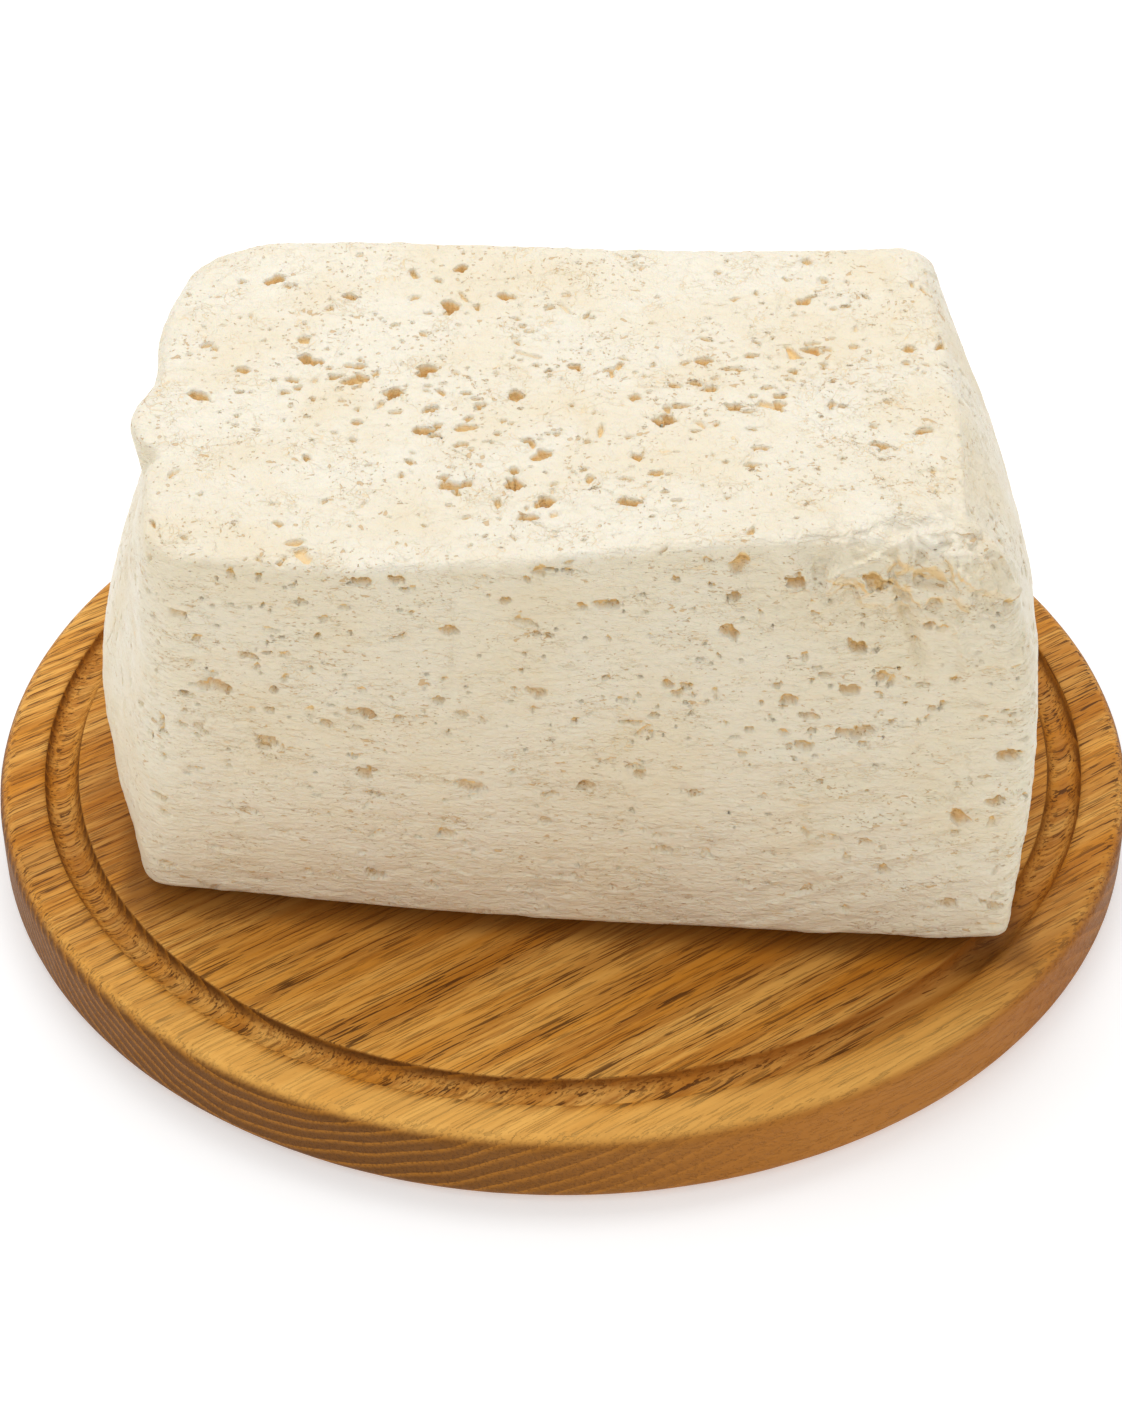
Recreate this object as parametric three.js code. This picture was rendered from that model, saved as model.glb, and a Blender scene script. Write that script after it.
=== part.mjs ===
// A block of white brined cheese standing on a round wooden board.
// Millimetres, +Z up. The origin is the centre of the board's underside, and the front of the
// block, its broad cut face, looks along -Y.
import * as THREE from "three";
import { mergeVertices } from "three/addons/utils/BufferGeometryUtils.js";

// the board: a turned disc with rolled edges and a juice groove near the rim
const boardDiameter = 300;
const boardThickness = 20;
const boardEdgeRadius = 4;
const grooveOuterRadius = 138;
const grooveWidth = 9;
const grooveDepth = 4;
const boardSegments = 80;
const edgeSegments = 4;
const grooveSegments = 6;

// the block's foot on the board, seen from above: it is cut a little out of square
const foot = {
  frontLeft: [-106, -64], frontRight: [110, -85],
  backRight: [108, 54], backLeft: [-110, 59],
};
// the block's top corners, with their height above the board
const crown = {
  frontLeft: [-95, -71, 113], frontRight: [99, -82, 117],
  backRight: [93, 53, 120], backLeft: [-99, 57, 119],
};
const cutEdgeRadius = 3;        // the long edges of the top, slightly slumped
const footEdgeRadius = 6;       // those of the foot, which has sagged and rolled under
const cornerRadius = { left: 9.5, right: 7 };   // the upright edges, rounder
const footCornerShare = 0.6;    // how much of that is left at the foot
const bulge = { front: 5.5, back: 4, left: 12, right: 13 };     // how far each side sags out
const bulgeFade = { front: 0.5, back: 0.5, left: 1.1, right: 0.5 };     // how soon it ends sideways
const bulgeTilt = { left: -13, right: 7 };      // moves the fullest height up or down a side
const footSweep = { bow: -4, sway: -1 };        // the front foot's bow and S-curve
const ridgeSweep = { bow: -1, sway: 6 };        // the same along the front top edge
const ridgeWave = { bow: -0.5, sway: 8.5 };     // rise of the front top edge over its length
const backWave = { bow: -1, sway: -3 };         // rise of the back top edge
const topCrown = -1;                            // the top is very slightly hollow
// broad dents and lobes: middle and reach above the board, and the way the surface moves
const pushes = [
  { at: [-97, -19, 114], reach: [16, 16, 11], by: [-7, 0, 0.5] },       // lobe, left top edge
  { at: [-100, 57, 119], reach: [22, 22, 16], by: [5, -3.5, -2] },      // worn back left corner
  { at: [80, -80, 118], reach: [26, 9, 8], by: [0, 2.5, -2.2] },        // crumbled front ridge
  { at: [-101, -45, 98], reach: [16, 26, 24], by: [-5, 0, 0] },         // fuller upper left side
];
const pushFalloff = 1.4;
const roundingHalfSize = [104, 64, 54];          // the edge radii are shares of this
const uprightStart = { across: 0.75, deep: 0.6 };   // where the corner radius begins
const blockGrid = { x: 24, y: 16, z: 16 };
const edgeCrowding = 1.8;       // pushes the grid lines towards the edges

const oak = new THREE.MeshStandardMaterial({ color: "#b87f42", roughness: 0.55, metalness: 0 });
const curd = new THREE.MeshStandardMaterial({ color: "#efe4c8", roughness: 0.45, metalness: 0 });

const mix = THREE.MathUtils.lerp;
const smooth = THREE.MathUtils.smoothstep;

// points of an arc in the profile plane, centre (r, z), from one angle to another
function arc(r, z, radius, from, to, steps) {
  return Array.from({ length: steps + 1 }, (_, i) => {
    const a = mix(from, to, i / steps);
    return new THREE.Vector2(r + radius * Math.cos(a), z + radius * Math.sin(a));
  });
}

// half of the disc's section: underside, rolled edges, top and the round-bottomed groove
function makeBoard() {
  const rim = boardDiameter / 2 - boardEdgeRadius;
  const grooveRadius = (grooveWidth ** 2 / 4 + grooveDepth ** 2) / (2 * grooveDepth);
  const grooveCentre = grooveOuterRadius - grooveWidth / 2;
  const grooveAxisHeight = boardThickness - grooveDepth + grooveRadius;
  const halfSpread = Math.asin(grooveWidth / 2 / grooveRadius);
  const profile = [
    new THREE.Vector2(0, 0),
    new THREE.Vector2(rim / 2, 0),
    ...arc(rim, boardEdgeRadius, boardEdgeRadius, -Math.PI / 2, 0, edgeSegments),
    ...arc(rim, boardThickness - boardEdgeRadius, boardEdgeRadius, 0, Math.PI / 2, edgeSegments),
    ...arc(grooveCentre, grooveAxisHeight, grooveRadius,
      -Math.PI / 2 + halfSpread, -Math.PI / 2 - halfSpread, grooveSegments),
    new THREE.Vector2(grooveCentre / 2, boardThickness),
    new THREE.Vector2(0, boardThickness),
  ];
  const board = new THREE.Mesh(new THREE.LatheGeometry(profile, boardSegments), oak);
  board.geometry.rotateX(Math.PI / 2);
  board.name = "cutting_board";
  return board;
}

// crowds evenly spaced grid lines towards the two ends of -1..1
function crowd(t) {
  return Math.sign(t) * (1 - (1 - Math.abs(t)) ** edgeCrowding);
}

// rounds the edges of the cube -1..1: a point past the inner core moves onto an ellipsoid corner
function roundEdges(p, half) {
  const corner = mix(cornerRadius.left, cornerRadius.right, (p.x + 1) / 2)
    * mix(footCornerShare, 1, (p.z + 1) / 2);
  const edge = mix(footEdgeRadius, cutEdgeRadius, (p.z + 1) / 2);
  const upright = (t, start) => mix(edge, corner, smooth(Math.abs(t), start, 1));
  const radius = new THREE.Vector3(
    upright(p.y, uprightStart.deep), upright(p.x, uprightStart.across), edge);
  radius.divide(half);
  const one = new THREE.Vector3(1, 1, 1);
  const inner = one.clone().sub(radius);
  const core = p.clone().clamp(inner.clone().negate(), inner);
  const out = p.clone().sub(core).divide(radius);
  const reach = Math.max(Math.abs(out.x), Math.abs(out.y), Math.abs(out.z));
  if (reach > 0) out.multiplyScalar(reach / out.length());
  return core.add(out.multiply(radius));
}

// where a point of the rounded cube lies on the block, above the board
function placeOnBlock(p) {
  const [u, v, w] = [p.x, p.y, p.z];
  const [right, back, high] = [(u + 1) / 2, (v + 1) / 2, (w + 1) / 2];
  const across = (corners, k) => mix(
    mix(corners.frontLeft[k], corners.frontRight[k], right),
    mix(corners.backLeft[k], corners.backRight[k], right), back);
  const along = 1 - u * u;
  const belly = 1 - w * w;
  const wave = (shape) => (shape.bow + shape.sway * u) * along;
  const spot = new THREE.Vector3(
    mix(across(foot, 0), across(crown, 0), high),
    mix(across(foot, 1), across(crown, 1), high),
    across(crown, 2) * high,
  );
  spot.x -= (bulge.left + bulgeTilt.left * w) * (1 - right) * belly
    * (1 - bulgeFade.left * v * v);
  spot.x += (bulge.right + bulgeTilt.right * w) * right * belly
    * (1 - bulgeFade.right * v * v);
  spot.y += bulge.back * back * belly * (1 - bulgeFade.back * u * u);
  spot.y -= bulge.front * (1 - back) * belly * (1 - bulgeFade.front * u * u);
  spot.y += (1 - back) * mix(wave(footSweep), wave(ridgeSweep), high);
  spot.z += high * mix(wave(ridgeWave), wave(backWave), back);
  spot.z += topCrown * high * along * (1 - v * v);
  return pushes.reduce(pushSurface, spot);
}

// moves a point by a push, less the further it lies from the push's middle
function pushSurface(spot, push) {
  const away = spot.clone().sub(new THREE.Vector3(...push.at));
  const far = away.divide(new THREE.Vector3(...push.reach)).lengthSq();
  return spot.addScaledVector(new THREE.Vector3(...push.by), Math.exp(-pushFalloff * far));
}

function makeCheese() {
  const half = new THREE.Vector3(...roundingHalfSize);
  let shape = new THREE.BoxGeometry(2, 2, 2, blockGrid.x, blockGrid.y, blockGrid.z);
  shape.deleteAttribute("normal");
  shape.deleteAttribute("uv");
  shape = mergeVertices(shape);
  const spots = shape.attributes.position;
  for (let i = 0; i < spots.count; i++) {
    const p = new THREE.Vector3().fromBufferAttribute(spots, i);
    const crowded = new THREE.Vector3(crowd(p.x), crowd(p.y), crowd(p.z));
    const spot = placeOnBlock(roundEdges(crowded, half));
    spots.setXYZ(i, spot.x, spot.y, spot.z);
  }
  shape.computeVertexNormals();
  const cheese = new THREE.Mesh(shape, curd);
  cheese.position.z = boardThickness;
  cheese.name = "cheese_block";
  return cheese;
}

const servedCheese = new THREE.Group();
servedCheese.name = "cheese_block_on_round_board";
servedCheese.add(makeBoard(), makeCheese());

export default servedCheese;
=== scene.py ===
# A slumped block of white brined cheese on a round oak board with a juice groove.
# Shapes are worked out in millimetres and go into the meshes in metres, in the frame's own place.
import math
import bpy
import numpy as np
from mathutils import Matrix, Vector


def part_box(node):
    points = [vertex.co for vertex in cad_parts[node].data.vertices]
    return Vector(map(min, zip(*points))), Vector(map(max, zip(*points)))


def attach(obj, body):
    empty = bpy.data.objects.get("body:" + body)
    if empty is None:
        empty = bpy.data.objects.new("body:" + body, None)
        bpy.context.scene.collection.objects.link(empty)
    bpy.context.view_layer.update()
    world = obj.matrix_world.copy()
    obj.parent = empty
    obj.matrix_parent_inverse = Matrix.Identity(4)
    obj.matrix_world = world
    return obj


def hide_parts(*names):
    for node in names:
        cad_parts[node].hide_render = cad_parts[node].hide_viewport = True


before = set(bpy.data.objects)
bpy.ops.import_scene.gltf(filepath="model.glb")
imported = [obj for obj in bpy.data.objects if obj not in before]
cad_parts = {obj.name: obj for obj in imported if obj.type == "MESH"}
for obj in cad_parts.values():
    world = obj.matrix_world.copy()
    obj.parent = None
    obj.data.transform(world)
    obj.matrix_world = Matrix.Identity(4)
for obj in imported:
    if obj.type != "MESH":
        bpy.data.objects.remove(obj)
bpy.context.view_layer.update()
mm = 0.001

# hash of whole-number cell places: mixes the three numbers and a salt, gives 0..1
def scramble(ix, iy, iz, salt):
    h = (ix * 73856093) ^ (iy * 19349663) ^ (iz * 83492791) ^ (salt * 40503 + 977)
    h = (h & 0xFFFFFFFF).astype(np.uint32)
    h ^= h >> 16
    h *= np.uint32(0x7FEB352D)
    h ^= h >> 15
    h *= np.uint32(0x846CA68B)
    h ^= h >> 16
    return h.astype(np.float32) / np.float32(4294967296.0)


# smooth noise, -1..1: hashes at the eight corners of each cube, blended with a quintic ease
def softNoise(p, size, salt):
    q = (p / size).astype(np.float32)
    base = np.floor(q)
    f = q - base
    f = f * f * f * (f * (f * 6 - 15) + 10)
    c = base.astype(np.int64)
    total = np.zeros(len(p), np.float32)
    for dx in (0, 1):
        for dy in (0, 1):
            for dz in (0, 1):
                weight = np.abs(1 - dx - f[:, 0]) * np.abs(1 - dy - f[:, 1]) * np.abs(1 - dz - f[:, 2])
                total += weight * scramble(c[:, 0] + dx, c[:, 1] + dy, c[:, 2] + dz, salt)
    return total * 2 - 1


# several sizes of soft noise added, each half the size and the given share of the one before
def layeredNoise(p, size, salt, layers=3, share=0.5):
    total, weight, full = 0, 1.0, 0.0
    for k in range(layers):
        total = total + weight * softNoise(p, size / 2 ** k, salt + 17 * k)
        full += weight
        weight *= share
    return total / full


# grains of random cells: distances to the two nearest cell centres in cell widths, their hashes,
# and the step from each point to the nearest centre
def grains(p, size, salt):
    q = (p / size).astype(np.float32)
    base = np.floor(q).astype(np.int64)
    n = len(p)
    near = [np.full(n, 9, np.float32) for _ in range(2)]
    mark = [np.zeros(n, np.float32) for _ in range(2)]
    step = np.zeros((n, 3), np.float32)
    for dx in (-1, 0, 1):
        for dy in (-1, 0, 1):
            for dz in (-1, 0, 1):
                ix, iy, iz = base[:, 0] + dx, base[:, 1] + dy, base[:, 2] + dz
                centre = np.stack([ix + scramble(ix, iy, iz, salt),
                                   iy + scramble(ix, iy, iz, salt + 1),
                                   iz + scramble(ix, iy, iz, salt + 2)], 1).astype(np.float32)
                off = centre - q
                d = np.sqrt((off ** 2).sum(1))
                m = scramble(ix, iy, iz, salt + 3)
                first, second = d < near[0], d < near[1]
                near[1] = np.where(first, near[0], np.where(second, d, near[1]))
                mark[1] = np.where(first, mark[0], np.where(second, m, mark[1]))
                near[0] = np.where(first, d, near[0])
                mark[0] = np.where(first, m, mark[0])
                step[first] = off[first]
    return near, mark, step * size


# 0 at a and before, 1 at b and past it, with a cubic S between
def ease(a, b, t):
    t = np.clip((t - a) / (b - a), 0, 1)
    return t * t * (3 - 2 * t)


# a straight blend: a where t is 0, b where it is 1
def mix(a, b, t):
    return a + (b - a) * t


# verts in millimetres and faces as index rows become a smooth-shaded object that rides on the root
def makePiece(name, verts, faces, node):
    mesh = bpy.data.meshes.new(name)
    mesh.from_pydata((verts * mm).tolist(), [], faces)
    mesh.update()
    mesh.polygons.foreach_set("use_smooth", np.ones(len(mesh.polygons), bool))
    piece = bpy.data.objects.new(name, mesh)
    bpy.context.scene.collection.objects.link(piece)
    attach(piece, "root")
    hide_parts(node)
    return piece


# one number at each vertex, for the materials
def keepNumber(piece, name, values):
    layer = piece.data.attributes.new(name, "FLOAT", "POINT")
    layer.data.foreach_set("value", np.asarray(values, np.float32))


cheese = {
    "foot": {"frontLeft": (-106, -64), "frontRight": (110, -85),
             "backRight": (108, 54), "backLeft": (-110, 59)},
    "crown": {"frontLeft": (-95, -71, 113), "frontRight": (99, -82, 117),
              "backRight": (93, 53, 120), "backLeft": (-99, 57, 119)},
    "half": (104, 64, 54),          # rough half sizes, for the rounding
    "cutEdgeRadius": 3.0,           # the long edges of the top
    "footEdgeRadius": 6.0,          # those of the foot
    "cornerRadius": {"left": 9.5, "right": 7.0},        # the upright edges
    "footCornerShare": 0.6,         # how much of that is left at the foot
    "uprightStart": {"across": 0.75, "deep": 0.6},      # where the corner radius begins
    "bulge": {"front": 5.5, "back": 4.0, "left": 12.0, "right": 13.0},
    "bulgeFade": {"front": 0.5, "back": 0.5, "left": 1.1, "right": 0.5},
    "bulgeTilt": {"left": -13.0, "right": 7.0},
    "footSweep": (-4.0, -1.0),      # bow and S of the front foot
    "ridgeSweep": (-1.0, 6.0),      # bow and S of the front top edge
    "ridgeWave": (-0.5, 8.5),       # its rise
    "backWave": (-1.0, -3.0),
    "topCrown": -1.0,
    "pushFalloff": 1.4,
    "facet": {"facing": (0.74, -0.06, 0.67), "from": -76, "to": -14, "fade": 14, "depth": 3.2},
    "undercut": {"inward": 4.0, "below": 7.0},          # the front foot rolls back under the block
    "crumble": {"middle": (80, -82, 110), "reach": (25, 14, 10), "height": 2.4, "lean": 0.11},
    # noise on the surface: (height, size)
    "relief": {"swell": (0.9, 46), "lumps": (0.4, 13), "pressWrinkles": (0.30, 4.2),
               "fineWrinkles": (0.16, 1.7), "topGrain": (0.26, 3.2), "fineTopGrain": (0.1, 1.5),
               "ridgeGrain": (0.5, 7)},
    "clothMarks": 0.8,              # their height
    "creases": 1.5,                 # share of the heights listed below
    "backRise": 1.2,                # the back top edge stands this much proud
    "seamDepth": 0.35,
    "bigOpenings": {"size": 11, "largest": 2.2, "share": 0.45, "salt": 51},
    "smallOpenings": {"size": 4.8, "largest": 1.0, "share": 0.55, "salt": 71},
    "span": (230, 145, 116),        # rough full sizes, for the grid
    "gridStep": 0.56,               # before thinning
    "triangles": 192000,            # after thinning
    # pushes: middle (x, y, height), reach along each axis, and the way the surface moves
    "pushes": [
        ((-97, -19, 114), (16, 16, 11), (-7, 0, 0.5)),        # lobe on the left top edge
        ((-98, 14, 114), (14, 20, 12), (-2.5, 0, 0)),         # the run into it from behind
        ((-100, 57, 119), (22, 22, 16), (5, -3.5, -2)),       # worn back left corner
        ((80, -80, 118), (26, 9, 8), (0, 2.5, -2.2)),         # crumbled front ridge
        ((-101, -45, 98), (16, 26, 24), (-5, 0, 0)),          # fuller upper left side
        ((-99, -33, 112), (9, 4, 8), (3.0, 0, -1.5)),         # the notch in front of the lobe
    ],
}

# pits strewn over a face by a seeded draw: how many, the face's extent, the range of their
# lengths, how flat they are, the liking for places outside a crowd, and the crowds (middle, reach)
pitFields = {
    "top": {"count": 240, "low": (-92, -72), "high": (90, 50),
            "length": (1.3, 6.4), "flatness": (0.4, 1.0), "loose": 0.22, "salt": 201,
            "crowds": [((-45, 5), (32, 34)), ((10, -30), (38, 24)), ((60, -5), (32, 30))]},
    "front": {"count": 270, "low": (-100, 8), "high": (106, 112),
              "length": (1.3, 6.6), "flatness": (0.25, 0.75), "loose": 0.3, "salt": 403,
              "crowds": [((70, 90), (34, 26)), ((0, 85), (45, 30)), ((-65, 75), (30, 28))]},
}
# creases of the front: from (x, height) to (x, height), sideways bow, width, and rise
# (minus sinks)
frontCreases = [
    (40, 60, 86, 74, -3, 1.8, 0.7), (48, 50, 100, 68, -4, 2.0, 0.7), (58, 40, 104, 56, -3, 2.0, 0.7),
    (68, 30, 104, 42, -2, 1.8, 0.5), (76, 106, 84, 84, 0.6, 1.5, -1.4), (88, 104, 94, 84, 0.6, 1.1, 0.8),
    (-98, 80, -60, 88, 3, 1.8, 0.5), (-25, 106, -27, 72, 0.6, 0.9, -0.4),
]


# six grids of the cube -1..1, edges shared: (points, quads)
def cubeGrid(nx, ny, nz):
    counts = np.array([nx, ny, nz])
    places, quads, start = [], [], 0
    for axis in range(3):
        a, b = (axis + 1) % 3, (axis + 2) % 3
        for side in (0, 1):
            i, j = np.meshgrid(np.arange(counts[a] + 1), np.arange(counts[b] + 1), indexing="ij")
            place = np.zeros((i.size, 3), np.int64)
            place[:, a], place[:, b] = i.ravel(), j.ravel()
            place[:, axis] = side * counts[axis]
            number = start + np.arange(i.size).reshape(i.shape)
            ring = [number[:-1, :-1], number[1:, :-1], number[1:, 1:], number[:-1, 1:]]
            if side == 0:
                ring = ring[::-1]
            quads.append(np.stack([r.ravel() for r in ring], 1))
            places.append(place)
            start += i.size
    places, quads = np.concatenate(places), np.concatenate(quads)
    key = (places[:, 0] * (ny + 1) + places[:, 1]) * (nz + 1) + places[:, 2]
    _, first, where = np.unique(key, return_index=True, return_inverse=True)
    return places[first] / counts * 2.0 - 1.0, where.ravel()[quads]


# rounds the cube's edges: past an inner core, each point moves onto an ellipsoid corner
def roundEdges(c, s):
    corner = mix(s["cornerRadius"]["left"], s["cornerRadius"]["right"], (c[:, 0] + 1) / 2)
    corner = corner * mix(s["footCornerShare"], 1, (c[:, 2] + 1) / 2)
    edge = mix(s["footEdgeRadius"], s["cutEdgeRadius"], (c[:, 2] + 1) / 2)

    def upright(t, start):
        return mix(edge, corner, ease(start, 1, np.abs(t)))

    starts = s["uprightStart"]
    radius = np.stack([upright(c[:, 1], starts["deep"]), upright(c[:, 0], starts["across"]), edge], 1)
    radius = radius / np.array(s["half"])
    core = np.clip(c, radius - 1, 1 - radius)
    out = (c - core) / radius
    reach = np.abs(out).max(1, keepdims=True)
    length = np.maximum(np.linalg.norm(out, axis=1, keepdims=True), 1e-9)
    return core + out * (reach / length) * radius


# the smooth block: corners blended across, plus bellies on the four sides and waves on the edges
def blockShape(c, s):
    r = roundEdges(c, s)
    u, v, w = r.T
    right, back, high = (u + 1) / 2, (v + 1) / 2, (w + 1) / 2
    along, belly = 1 - u * u, 1 - w * w

    def across(corners, k):
        front = mix(corners["frontLeft"][k], corners["frontRight"][k], right)
        rear = mix(corners["backLeft"][k], corners["backRight"][k], right)
        return mix(front, rear, back)

    def wave(name):
        return (s[name][0] + s[name][1] * u) * along

    bulge, fade, tilt = s["bulge"], s["bulgeFade"], s["bulgeTilt"]
    x = mix(across(s["foot"], 0), across(s["crown"], 0), high)
    y = mix(across(s["foot"], 1), across(s["crown"], 1), high)
    z = across(s["crown"], 2) * high
    x = x - (bulge["left"] + tilt["left"] * w) * (1 - right) * belly * (1 - fade["left"] * v * v)
    x = x + (bulge["right"] + tilt["right"] * w) * right * belly * (1 - fade["right"] * v * v)
    y = y + bulge["back"] * back * belly * (1 - fade["back"] * u * u)
    y = y - bulge["front"] * (1 - back) * belly * (1 - fade["front"] * u * u)
    y = y + (1 - back) * mix(wave("footSweep"), wave("ridgeSweep"), high)
    z = z + high * mix(wave("ridgeWave"), wave("backWave"), back)
    z = z + s["topCrown"] * high * along * (1 - v * v)
    return np.stack([x, y, z], 1)


# planes off a ridge between two depths: what stands past a plane is moved back onto it
def shave(p, facet):
    way = np.array(facet["facing"]) / np.linalg.norm(facet["facing"])
    start, end = facet["from"], facet["to"]
    here = ease(start, start + facet["fade"], p[:, 1]) * ease(end, end - facet["fade"], p[:, 1])
    reach = p @ way
    limit = reach[here > 0.9].max() - facet["depth"]
    return p - (np.maximum(reach - limit, 0) * here)[:, None] * way


# outward normals of a quad surface: the quads' normals added at their corners
def normalsOf(points, quads):
    diagonalA = points[quads[:, 2]] - points[quads[:, 0]]
    diagonalB = points[quads[:, 3]] - points[quads[:, 1]]
    flat = np.cross(diagonalA, diagonalB)
    total = np.zeros_like(points)
    for k in range(4):
        for axis in range(3):
            total[:, axis] += np.bincount(quads[:, k], flat[:, axis], len(points))
    return total / np.maximum(np.linalg.norm(total, axis=1, keepdims=True), 1e-12)


# openings left between curds. Each is a many-sided cavity round a random cell centre, cut by the
# surface: depth is the room left inside the flattest pair of sides, 0 outside
def curdOpenings(p, kind, crowdedness):
    salt = kind["salt"]
    flattened = np.array([1, 1, 1.5])
    _, mark, step = grains(p * flattened, kind["size"], salt)
    step = step / flattened
    number = np.floor(mark[0] * 65535).astype(np.int64)

    def side(k):
        a = scramble(number, number * 3 + k, number + 11 * k, salt + k) * 2 * np.pi
        h = scramble(number, number + k, number * 5 + k, salt + 40 + k) * 2 - 1
        r = np.sqrt(1 - h * h)
        return np.stack([r * np.cos(a), r * np.sin(a), h], 1)

    reach = np.max([np.abs((step * side(k)).sum(1)) * (1.0 if k else 0.7) for k in range(3)], axis=0)
    chosen = scramble(number, number * 7, number * 13, salt + 5)
    luck = scramble(number, number * 11, number * 17, salt + 6)
    radius = kind["largest"] * (0.3 + 0.7 * luck ** 2) * (chosen < kind["share"] * crowdedness)
    inside = np.clip(1 - reach / np.maximum(radius, 1e-6), 0, 1)
    return radius * 1.5 * ease(0, 0.45, inside) * (0.6 + 0.4 * luck)


# draws a field's pits: evenly random places, kept by how near they lie to a crowd's middle, with
# few long ones and many short. Gives rows of (across, up, length, width)
def strewPits(field):
    luck = np.random.default_rng(field["salt"])
    low, high = np.array(field["low"], float), np.array(field["high"], float)
    spots = low + (high - low) * luck.random((field["count"] * 12, 2))
    liking = np.full(len(spots), float(field["loose"]))
    for middle, reach in field["crowds"]:
        liking += np.exp(-(((spots - middle) / reach) ** 2).sum(1))
    spots = spots[luck.random(len(spots)) < liking][:field["count"]]
    short, long = field["length"]
    length = short + (long - short) * luck.random(len(spots)) ** 3.6
    width = length * luck.uniform(*field["flatness"], len(spots))
    return np.column_stack([spots, length, np.maximum(width, 0.9)])


# the strewn pits: each is two to four small leaning polygons run together, steep at the rim. The
# depth is eased from nothing just past the outline to full three tenths of the way in
def carvePits(p, pits, second, facing, salt):
    depth = np.zeros(len(p))
    for k, (x, y, long, wide) in enumerate(pits):
        a, b = p[:, 0] - x, p[:, second] - y
        near = np.where((np.abs(a) < long) & (np.abs(b) < wide + 0.8) & (facing > 0.5))[0]
        if len(near) == 0:
            continue
        luck = np.random.default_rng(salt + k)
        ragged = 0.28 * softNoise(p[near], 1.2, salt)
        deep = 0.75 + 0.45 * min(long, wide) * luck.uniform(0.8, 1.25)
        for part in range(luck.integers(2, 5)):
            sides, turn = luck.integers(4, 7), luck.uniform(0, 2 * np.pi)
            shift = luck.uniform(-0.3, 0.3, 2) * (part > 0)
            share = luck.uniform(0.45, 0.75) if part else 0.8
            u = a[near] / (long * 0.5) - shift[0] * 2 + ragged
            v = b[near] / (wide * 0.5) - shift[1] * 2 - ragged
            angles = turn + (np.arange(sides) + luck.uniform(-0.25, 0.25, sides)) / sides * 2 * np.pi
            size = luck.uniform(0.7, 1.0, sides) * share
            edge = np.max([(np.cos(t) * u + np.sin(t) * v) / r for t, r in zip(angles, size)], axis=0)
            lean = 1 + 0.3 * (np.cos(turn) * u + np.sin(turn) * v)
            depth[near] = np.maximum(depth[near], deep * np.clip(lean, 0.4, 1.6) * ease(1.05, 0.7, edge))
    return depth


# rolled or sunk lines on the front: height over a slightly bowed line, a bell across it
def raiseCreases(p, creases, facing):
    rise = np.zeros(len(p))
    for x0, z0, x1, z1, bow, width, lift in creases:
        along = np.array([x1 - x0, z1 - z0], float)
        length = np.hypot(*along)
        along /= length
        dx, dz = p[:, 0] - x0, p[:, 2] - z0
        t = (dx * along[0] + dz * along[1]) / length
        off = -dx * along[1] + dz * along[0] - bow * 4 * t * (1 - t)
        fade = ease(-0.05, 0.25, t) * ease(1.05, 0.75, t)
        rise += lift * fade * np.exp(-(off / width) ** 2) * (facing > 0.4)
    return rise
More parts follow.
